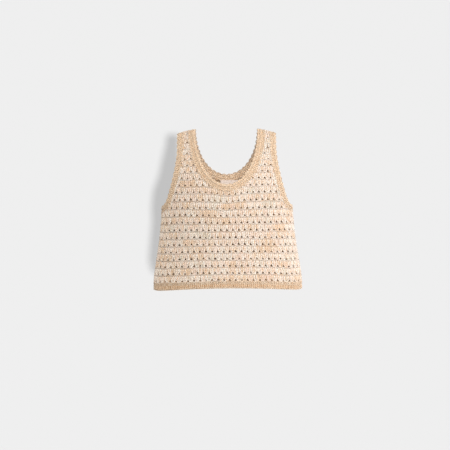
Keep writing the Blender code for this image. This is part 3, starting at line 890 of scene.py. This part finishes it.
class Ring:
    """The border round one opening. A place on it is (scallops along, depth from the edge).

    Depths count from 0 at the edge to the neck border's width, and shrink on a narrower border.
    """
    DEPTHS = np.linspace(-0.0040, 0.0200, 9)

    def __init__(self, hand):
        self.width = trim_width(hand)
        lines = walked_lines(hand, self.DEPTHS * (self.width / NECK_TRIM_WIDTH))
        points, normals = (np.stack(part, axis=1)
                           for part in zip(*(lifted(*line, 0.0) for line in lines)))
        self.count = len(points) // RING_STEPS
        self.points = np.concatenate((points, points[:2]))
        self.normals = np.concatenate((normals, normals[:2]))
        middle = self.points[:-1, len(self.DEPTHS) // 2]
        self.length = float(np.linalg.norm(np.diff(middle, axis=0), axis=1).sum())
        self.skein = Skein()

    def place(self, scallop, depth, lift):
        rows = np.mod(scallop, self.count) * RING_STEPS
        columns = (depth - self.DEPTHS[0]) / (self.DEPTHS[1] - self.DEPTHS[0])
        normals = unit(grid_value(self.normals, rows, columns))
        points = grid_value(self.points, rows, columns)
        return points + normals * np.asarray(lift)[..., None], normals

    def work(self, shape, in_scallop, radius, row):
        """Works so many strands into each scallop, all round."""
        count = self.count * in_scallop
        number = np.arange(count)[:, None]
        share = np.broadcast_to(np.linspace(0, 1, LOOP_POINTS), (count, LOOP_POINTS))
        scallop, depth, lift = shape(share, number)
        centres, normals = self.place(scallop, depth, lift)
        self.skein.add(centres, normals, radius,
                       beside(scallop * SCALLOP_PITCH, row, number % 2))

    def posts(self, near, far, lift, turns, radius, row):
        """Upright stitches of two plies, from one depth to another."""
        for ply in (0, 1):
            def post(share, number, ply=ply):
                angle = BORDER_PLY_STEP * number + 2 * math.pi * turns * share + math.pi * ply
                scallop = (number + 0.5 + BORDER_SWING * np.cos(angle)) / STITCHES_IN_SCALLOP
                return scallop, near + (far - near) * share, lift + BORDER_RISE * np.sin(angle)
            self.work(post, STITCHES_IN_SCALLOP, radius, row)

    def chain(self, middle, lift, radius, row, follow=0.0, hand=1):
        """A chain ridge: two legs to each stitch, tucked under the next one."""
        for leg in (-1, 1):
            def loop(share, number, leg=leg):
                reach, width, high = chain_stitch(share)
                scallop = (number + 0.5 + hand * reach) / STITCHES_IN_SCALLOP
                depth = middle - follow * edge_rise(scallop) + leg * (BORDER_CHAIN_SPREAD * width)
                return scallop, depth, lift + high
            self.work(loop, STITCHES_IN_SCALLOP, radius, row)

    def petals(self, lift, radius, row):
        """Five petals fanned out from one stitch in each scallop."""
        def petal(share, number):
            aside = number % PETALS - PETALS // 2
            swing = aside * PETAL_FAN
            out = share * (PETAL_REACH - PETAL_SHORTER * np.abs(aside))
            scallop = (number // PETALS + 0.5
                       + (aside * PETAL_ASIDE + out / SCALLOP_PITCH * np.sin(swing)))
            depth = PETAL_FOOT - out * np.cos(swing) ** 0.5
            return scallop, depth, lift + PETAL_RISE * np.sin(math.pi * share)
        self.work(petal, PETALS, radius, row)

    def shell(self, name, material, row):
        """A thin closed band along the middle of the stitches."""
        scallop = np.arange(self.count * RING_STEPS) / RING_STEPS
        depth = beside(BORDER_EDGE - edge_rise(scallop), *BORDER_LINES)
        scallop = scallop[:, None]
        inner, outer = (self.place(scallop, depth, lift)[0] for lift in BORDER_LIFTS)
        step, line = outer[1, 0] - outer[0, 0], outer[0, 1] - outer[1, 0]
        outwards = np.dot(np.cross(step, line), self.place(0.0, 0.004, 0.0)[1]) >= 0
        return band_piece(name, material, outer, inner,
                          STEP_FIRST if outwards else STEP_FIRST[::-1],
                          beside(scallop * SCALLOP_PITCH, row, 0 * depth))


# ---- finishes ----
# Worsted cotton yarns. light is the ply that keeps its colour, and deep the painted shade that the
# yarn takes low in the fabric; length is that of a fleck, and stray says how much neighbouring
# stitches differ.
YARNS = {
    # A cream ply marled with tan, pink and grey
    "marled cotton yarn": dict(
        stops=((0.34, "greige"), (0.43, "cream"), (0.48, "blush"), (0.52, "cream"),
               (0.58, "tan"), (0.68, "blush")),
        light="cream", share=0.50, length=0.070, stray=0.22, deep="painted_body_shade"),
    # The same yarn under the stitches, where less light gets at it
    "marled cotton yarn, ground": dict(
        stops=((0.40, "body_ground_shade"), (0.60, "tan")),
        light="body_ground_shade", share=0.5, length=0.006, stray=2.17, deep=None),
    # Dyed sand, in two close shades
    "sand cotton yarn": dict(
        stops=((0.35, "sand"), (0.65, "sand_light")),
        light="sand_light", share=0.6, length=0.012, stray=2.17, deep="hem_ground_shade"),
    # The sand yarn under the hem's posts, where less light gets at it
    "sand cotton yarn, ground": dict(
        stops=((0.35, "hem_ground_shade"), (0.65, "sand")),
        light="hem_ground_shade", share=0.5, length=0.012, stray=2.17, deep=None),
}
FACTOR, FIRST, SECOND, MIXED = 0, 6, 7, 2      # sockets of a mix of two colours


def colour_of(key):
    return (*getattr(bpy.context.scene.tank_colours, key), 1.0)


def add_node(tree, kind, values=(), links=(), **settings):
    """Adds a shader node with its settings, socket values and links from other sockets."""
    node = tree.nodes.new("ShaderNode" + kind)
    for key, value in settings.items():
        setattr(node, key, value)
    for key, value in dict(values).items():
        node.inputs[key].default_value = value
    for key, socket in dict(links).items():
        tree.links.new(socket, node.inputs[key])
    return node


def fresh_material(name):
    material = bpy.data.materials.new(name)
    material.use_nodes = True
    material.node_tree.nodes.clear()
    return material, material.node_tree


def add_surface(tree, values, links=()):
    """Adds a Principled surface and the output that it goes to."""
    surface = add_node(tree, "BsdfPrincipled", values, links)
    add_node(tree, "OutputMaterial", (), {"Surface": surface.outputs["BSDF"]})


def yarn_material(name):
    """Matt cotton yarn, spun and plied: one light ply and one that changes colour along it.

    The plies are drawn twice as coarse as real ones, or they would not show. Loose fibres give
    a soft sheen and a fine grain. Low in the fabric, the stitches above keep the light off.
    """
    kept = bpy.data.materials.get(name)
    if kept:
        return kept
    yarn = YARNS[name]
    material, tree = fresh_material(name)
    strand = add_node(tree, "Attribute", attribute_name="strand")
    spread = add_node(tree, "Mapping", {"Scale": (1 / yarn["length"], ROW_STRAY, yarn["stray"])},
                      {"Vector": strand.outputs["Vector"]})
    fleck = add_node(tree, "TexNoise", {"Scale": 1.0, "Detail": 3.0, "Roughness": 0.7},
                     {"Vector": spread.outputs["Vector"]})
    tint = add_node(tree, "ValToRGB", {}, {"Fac": fleck.outputs["Fac"]})
    while len(tint.color_ramp.elements) < len(yarn["stops"]):
        tint.color_ramp.elements.new(0.5)
    for element, (place, key) in zip(tint.color_ramp.elements, yarn["stops"]):
        element.position = place
        element.color = colour_of(key)
    coil = add_node(tree, "TexCoord")
    ply_pitch = bpy.context.scene.tank_stitches.ply_pitch
    lay = add_node(tree, "Mapping", {"Scale": (1 / ply_pitch, 2.0, 1.0)},
                   {"Vector": coil.outputs["UV"]})
    plies = add_node(tree, "TexWave", {"Scale": ONE_BAND, "Distortion": 0.0},
                     {"Vector": lay.outputs["Vector"]}, wave_type="BANDS",
                     bands_direction="DIAGONAL", wave_profile="SIN")
    share = add_node(tree, "MapRange", {"From Min": 0.35, "From Max": 0.75, "To Min": 0.0,
                                        "To Max": yarn["share"]},
                     {"Value": plies.outputs["Fac"]})
    paint = add_node(tree, "Mix", {SECOND: colour_of(yarn["light"])},
                     {FACTOR: share.outputs["Result"], FIRST: tint.outputs["Color"]},
                     data_type="RGBA").outputs[MIXED]
    # Painted shade: by the height attribute, the yarn's colour turns to the deep colour low in the
    # fabric and on the wearer's side
    if yarn["deep"]:
        height = add_node(tree, "Attribute", attribute_name="height")
        open_air = add_node(tree, "MapRange",
                            {"From Min": DEEP_HEIGHTS[0], "From Max": DEEP_HEIGHTS[1]},
                            {"Value": height.outputs["Fac"]}, interpolation_type="SMOOTHSTEP")
        paint = add_node(tree, "Mix", {FIRST: colour_of(yarn["deep"])},
                         {FACTOR: open_air.outputs["Result"], SECOND: paint},
                         data_type="RGBA").outputs[MIXED]
    fibres = add_node(tree, "TexNoise", {"Scale": 1400.0, "Detail": 2.0, "Roughness": 0.6},
                      {"Vector": coil.outputs["Object"]})
    fuzz = add_node(tree, "Bump", {"Strength": 0.5, "Distance": 0.0003},
                    {"Height": fibres.outputs["Fac"]})
    twist = add_node(tree, "Bump", {"Strength": 1.0, "Distance": 0.0007},
                     {"Height": plies.outputs["Fac"], "Normal": fuzz.outputs["Normal"]})
    add_surface(tree, {"Roughness": 0.88, "IOR": 1.5, "Specular IOR Level": 0.25,
                       "Sheen Weight": 0.18, "Sheen Roughness": 0.5},
                {"Base Color": paint, "Normal": twist.outputs["Normal"]})
    return material


def ribbon_material():
    """Bare polyester satin ribbon: fine crosswise weave, a little gloss."""
    material, tree = fresh_material("woven satin ribbon")
    place = add_node(tree, "TexCoord")
    threads = add_node(tree, "TexWave", {"Scale": 260.0, "Distortion": 0.4},
                       {"Vector": place.outputs["Object"]}, bands_direction="Z")
    ribs = add_node(tree, "Bump", {"Strength": 0.3, "Distance": 0.0001},
                    {"Height": threads.outputs["Fac"]})
    add_surface(tree, {"Base Color": colour_of("ribbon"), "Roughness": 0.42, "Sheen Weight": 0.1},
                {"Normal": ribs.outputs["Normal"]})
    return material


def matt_paint(grey, glow):
    """Settings of a matt pale paint that glows a little, so that it is lit evenly."""
    return {"Base Color": (grey, grey, grey, 1.0), "Roughness": 1.0, "Specular IOR Level": 0.0,
            "Emission Color": colour_of("studio"), "Emission Strength": glow}


def wall_material():
    """Matt painted wall. Only its front is painted, so it doesn't hide the back's view."""
    material, tree = fresh_material("painted studio wall")
    paint = add_node(tree, "BsdfPrincipled", matt_paint(0.05, WALL_GLOW))
    clear = add_node(tree, "BsdfTransparent")
    rear = add_node(tree, "NewGeometry")
    both = add_node(tree, "MixShader", (), {0: rear.outputs["Backfacing"],
                                            1: paint.outputs["BSDF"], 2: clear.outputs["BSDF"]})
    add_node(tree, "OutputMaterial", (), {"Surface": both.outputs["Shader"]})
    return material


def floor_material():
    """Matt painted floor."""
    material, tree = fresh_material("painted studio floor")
    add_surface(tree, matt_paint(0.8, FLOOR_GLOW))
    return material


# ---- operators ----
class PieceOperator(bpy.types.Operator):
    bl_options = {"REGISTER", "UNDO"}


class TANK_OT_body(PieceOperator):
    """Lay the front and back panels in clusters of three stitches"""
    bl_idname = "tank.body"
    bl_label = "Body panels"

    def execute(self, context):
        for name, side in SIDES.items():
            panel = Panel(side, context.scene.tank_stitches)
            shell, area = panel_shell(panel, name + "_cloth",
                                      yarn_material("marled cotton yarn, ground"))
            posts, ridges = Skein(), Skein()
            lay_panel(panel, posts, ridges, 11 + side)
            work_seams(panel, ridges)
            material = yarn_material("marled cotton yarn")
            strands = [posts.wind(name + "_clusters", material),
                       ridges.wind(name + "_ridges", material)]
            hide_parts(name + "_panel")
            width = 2 * float(half_section(side, panel.base))
        return {"FINISHED"}


class TANK_OT_borders(PieceOperator):
    """Crochet the scalloped borders round the neck and the armholes"""
    bl_idname = "tank.borders"
    bl_label = "Scalloped borders"

    def execute(self, context):
        radius = context.scene.tank_stitches.trim_yarn
        material = yarn_material("sand cotton yarn")
        nodes = (("neck_trim", 0), ("armhole_trim_right", 1), ("armhole_trim_left", -1))
        for number, (node, hand) in enumerate(nodes):
            ring = Ring(hand)
            row = BORDER_ROWS + 6 * number
            ring.posts(0.0172, 0.0110, 0.0019, 0.5, radius, row)
            ring.posts(0.0112, 0.0052, 0.0018, -0.5, radius, row + 1)
            ring.chain(0.0160, 0.0026, radius * 0.86, row + 2)
            ring.chain(0.0108, 0.0018, radius * 0.80, row + 3, hand=-1)
            ring.chain(0.0052, 0.0026, radius * 0.86, row + 4)
            ring.petals(0.0015, radius * 0.9, row + 5)
            ring.chain(0.0013, 0.0012, radius * 0.8, row + 5.5, follow=1.3, hand=-1)
            strands = ring.skein.wind(node.replace("trim", "stitches"), material)
            shell = ring.shell(node.replace("trim", "border"), material, row)
            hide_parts(node)
        return {"FINISHED"}


class TANK_OT_hem(PieceOperator):
    """Crochet the straight band under both panels"""
    bl_idname = "tank.hem"
    bl_label = "Hem band"

    def execute(self, context):
        skein = Skein()
        grids = []
        for side in SIDES.values():
            top, bottom = run_at_drop(side, HEM_TOP_DROP), run_at_drop(side, HEM_BOTTOM_DROP)
            width = 2 * float(half_section(side, bottom))
            self.lay(skein, side, top, bottom, round(width / HEM_PITCH),
                     context.scene.tank_stitches.trim_yarn)
            grids.append(self.band_grid(side, top, bottom))
        strands = skein.wind("hem_stitches", yarn_material("sand cotton yarn"))
        outer, inner, tags = (np.concatenate(part) for part in zip(*grids))
        shell = band_piece("hem_cloth", yarn_material("sand cotton yarn, ground"), outer, inner,
                           LINE_FIRST, tags)
        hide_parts("hem_band")
        return {"FINISHED"}

    def lay(self, skein, side, top, bottom, count, radius):
        """Upright posts of two plies, under three chain ridges, on one side."""
        numbers = np.arange(count)[:, None] + 0.5

        def strands(place, share, lift, radius, row, ply):
            run = top + share * (bottom - top)
            along = (place / count * 2 - 1) * half_section(side, run)
            centres, normals = on_cloth(side, along, run, lift)
            # The heights, lowered by HEM_SHADE, only set the painted shade that the ridges stand for
            # on the posts
            skein.add(centres, normals, radius, beside(place * HEM_PITCH, row, ply),
                      lift - HEM_SHADE)

        share = np.linspace(0, 1, 7)
        for ply in (0, 1):
            angle = (HEM_PLY_STEP * np.arange(count)[:, None]
                     + math.pi * (HEM_POST_TURN * share + ply))
            strands(numbers + HEM_SWING * np.cos(angle), HEM_POST[0] + HEM_POST[1] * share,
                    HEM_LIFT + BORDER_RISE * np.sin(angle), radius, HEM_ROWS + side, ply)
        reach, width, high = chain_stitch(np.linspace(0, 1, LOOP_POINTS))
        for middle, lift, hand in HEM_RIDGES:
            for leg in (-1, 1):
                strands(numbers + hand * reach, middle + leg * (HEM_RIDGE_SPREAD * width),
                        lift + high, radius * HEM_RIDGE_YARN, HEM_RIDGE_ROWS + middle + side, 1.0)

    def band_grid(self, side, top, bottom):
        """One side of the band's ground cloth, from seam to seam: outer, inner and tags."""
        runs = top + np.array(HEM_LINES) * (bottom - top)
        shares = np.linspace(1, -1, HEM_STEPS + 1)[:-1, None] * -side
        along = shares * half_section(side, runs)
        inner, outer = (on_cloth(side, along, runs, lift)[0] for lift in BORDER_LIFTS)
        return outer, inner, beside(along, HEM_ROWS, 0 * along)


class TANK_OT_label(PieceOperator):
    """Hang the bare ribbon inside the back of the neck"""
    bl_idname = "tank.label"
    bl_label = "Neck label"

    def execute(self, context):
        columns, rows = LABEL_GRID
        across, down = np.meshgrid(*(np.linspace(0, 1, steps) for steps in LABEL_GRID),
                                   indexing="ij")
        column = np.arange(columns)[:, None]
        fold = np.minimum(np.abs(column - 1), np.abs(columns - 2 - column))
        near = (-LABEL_GAP + FOLD_RISE * np.exp(-(fold / FOLD_COLUMNS) ** 2)
                + RIBBON_WAVE * np.sin(2 * math.pi * across[:, :1] + 0.5))
        spot = self.spot(across, down)
        outer, inner = (lifted(*spot, lift)[0] for lift in (near, near - RIBBON_WALL))
        index = np.arange(columns * rows).reshape(LABEL_GRID)
        rim = np.concatenate((index[:, 0], index[-1, 1:], index[-2::-1, -1], index[0, -2:0:-1]))
        label = shell_piece("label_ribbon", ribbon_material(), outer, inner,
                            grid_faces(columns, rows, STEP_FIRST, closed=False),
                            [rim.tolist()], 0.0)
        thread = self.sew()
        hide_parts("neck_label")
        return {"FINISHED"}

    def spot(self, across, down):
        """Side, turn and run at shares of the label's width and height."""
        x = LABEL_CENTRE + LABEL_SIZE[0] * (across - 0.5)
        turn = np.arcsin(x / half_width_at(LABEL_TOP_DROP))
        run = run_at_drop(BACK, LABEL_TOP_DROP) + LABEL_SIZE[1] * down
        return np.full(x.shape, float(BACK)), turn, run

    def sew(self):
        """Running stitches down each end of the ribbon, on the wearer's side."""
        share = np.linspace(0, 1, 6)
        end, row = np.array([(end, row) for end in THREAD_ENDS
                             for row in range(THREAD_STITCHES)]).T[..., None]
        down = 0.08 + 0.84 * (row + 0.15 + 0.7 * share) / THREAD_STITCHES
        lift = -LABEL_GAP - RIBBON_WALL - THREAD_RISE * np.sin(math.pi * share)
        skein = Skein()
        skein.add(*lifted(*self.spot(end + 0 * share, down), lift), THREAD_RADIUS, 0.0)
        return skein.wind("label_thread", yarn_material("sand cotton yarn"))


class TANK_OT_stage(PieceOperator):
    """Set up the pale studio wall and floor, the camera and the lights"""
    bl_idname = "tank.stage"
    bl_label = "Studio"

    def execute(self, context):
        scene = context.scene
        stage = scene.tank_stage
        garment = [piece for piece in scene.objects if piece.type == "MESH"]
        half = STUDIO_SIZE / 2
        square = [(-half, -half, 0), (half, -half, 0), (half, half, 0), (-half, half, 0)]
        paint = floor_material()
        wall = self.flat_piece("studio_wall", square, wall_material())
        wall.rotation_euler = (QUARTER, 0, 0)
        wall.location = (0, stage.wall_distance, 0)
        floor = self.flat_piece("studio_floor", square, paint)
        floor.location = (0, 0, FLOOR_HEIGHT)
        card = self.flat_piece("shadow_card", [(x, 0, -drop) for drop, x in SHADOW_CARD], paint)
        card.visible_camera = card.visible_diffuse = False
        card.visible_glossy = card.visible_transmission = False

        lens = bpy.data.cameras.new("camera")
        lens.sensor_width = SENSOR_WIDTH
        lens.lens = lens.sensor_width * stage.camera_distance / stage.view_width
        camera = bpy.data.objects.new("camera", lens)
        camera.location = (CAMERA_ASIDE, -stage.camera_distance, CAMERA_HEIGHT)
        camera.rotation_euler = (QUARTER, CAMERA_ROLL, 0)
        scene.collection.objects.link(camera)
        scene.camera = camera

        side_light = self.sun("side light", stage.side_light)
        side_light.data.color = scene.tank_colours.window
        lit = self.group("lit softly", garment)
        for light in (side_light, self.sun("front light", stage.front_light)):
            light.light_linking.receiver_collection = lit
        wall_light = self.sun("wall light", stage.wall_light)
        wall_light.light_linking.receiver_collection = self.group("lit by the wall light", [wall])
        wall_light.light_linking.blocker_collection = self.group("shades the wall", [card])

        scene.world = bpy.data.worlds.new("studio")
        scene.world.use_nodes = True
        surroundings = scene.world.node_tree.nodes["Background"].inputs
        surroundings["Color"].default_value = colour_of("studio")
        surroundings["Strength"].default_value = stage.room_light
        scene.view_settings.view_transform = "Standard"
        return {"FINISHED"}

    def flat_piece(self, name, corners, material):
        mesh = bpy.data.meshes.new(name)
        mesh.from_pydata(corners, [], [tuple(range(len(corners)))])
        mesh.materials.append(material)
        piece = bpy.data.objects.new(name, mesh)
        bpy.context.scene.collection.objects.link(piece)
        return piece

    def group(self, name, pieces):
        group = bpy.data.collections.new(name)
        for piece in pieces:
            group.objects.link(piece)
        return group

    def sun(self, name, strength):
        """A far light, at its own angles."""
        azimuth, elevation, width = map(math.radians, LIGHT_ANGLES[name])
        data = bpy.data.lights.new(name, "SUN")
        data.energy = strength
        data.angle = width
        light = bpy.data.objects.new(name, data)
        level = math.cos(elevation)
        towards = Vector((math.sin(azimuth) * level, -math.cos(azimuth) * level,
                          math.sin(elevation)))
        light.rotation_mode = "QUATERNION"
        light.rotation_quaternion = towards.to_track_quat("Z", "Y")
        bpy.context.scene.collection.objects.link(light)
        return light


class TANK_PT_panel(bpy.types.Panel):
    """Sizes, colours and steps of the tank top"""
    bl_idname = "TANK_PT_panel"
    bl_label = "Tank top"
    bl_space_type = "VIEW_3D"
    bl_region_type = "UI"
    bl_category = "Tank top"

    def draw(self, context):
        for group in GROUPS:
            box = self.layout.box()
            settings = getattr(context.scene, group)
            for name in settings.__annotations__:
                box.prop(settings, name)
        for step in STEPS:
            self.layout.operator(step.bl_idname)


STEPS = (TANK_OT_body, TANK_OT_borders, TANK_OT_hem, TANK_OT_label, TANK_OT_stage)
GROUPS = {"tank_stitches": TankStitches, "tank_colours": TankColours, "tank_stage": TankStage}
CLASSES = (*GROUPS.values(), *STEPS, TANK_PT_panel)


def register():
    for item in CLASSES:
        bpy.utils.register_class(item)
    for name, group in GROUPS.items():
        setattr(bpy.types.Scene, name, PointerProperty(type=group))


def unregister():
    for name in GROUPS:
        delattr(bpy.types.Scene, name)
    for item in reversed(CLASSES):
        bpy.utils.unregister_class(item)


def main():
    register()
    for step in STEPS:
        group, name = step.bl_idname.split(".")
        getattr(getattr(bpy.ops, group), name)()


if __name__ == "__main__":
    main()
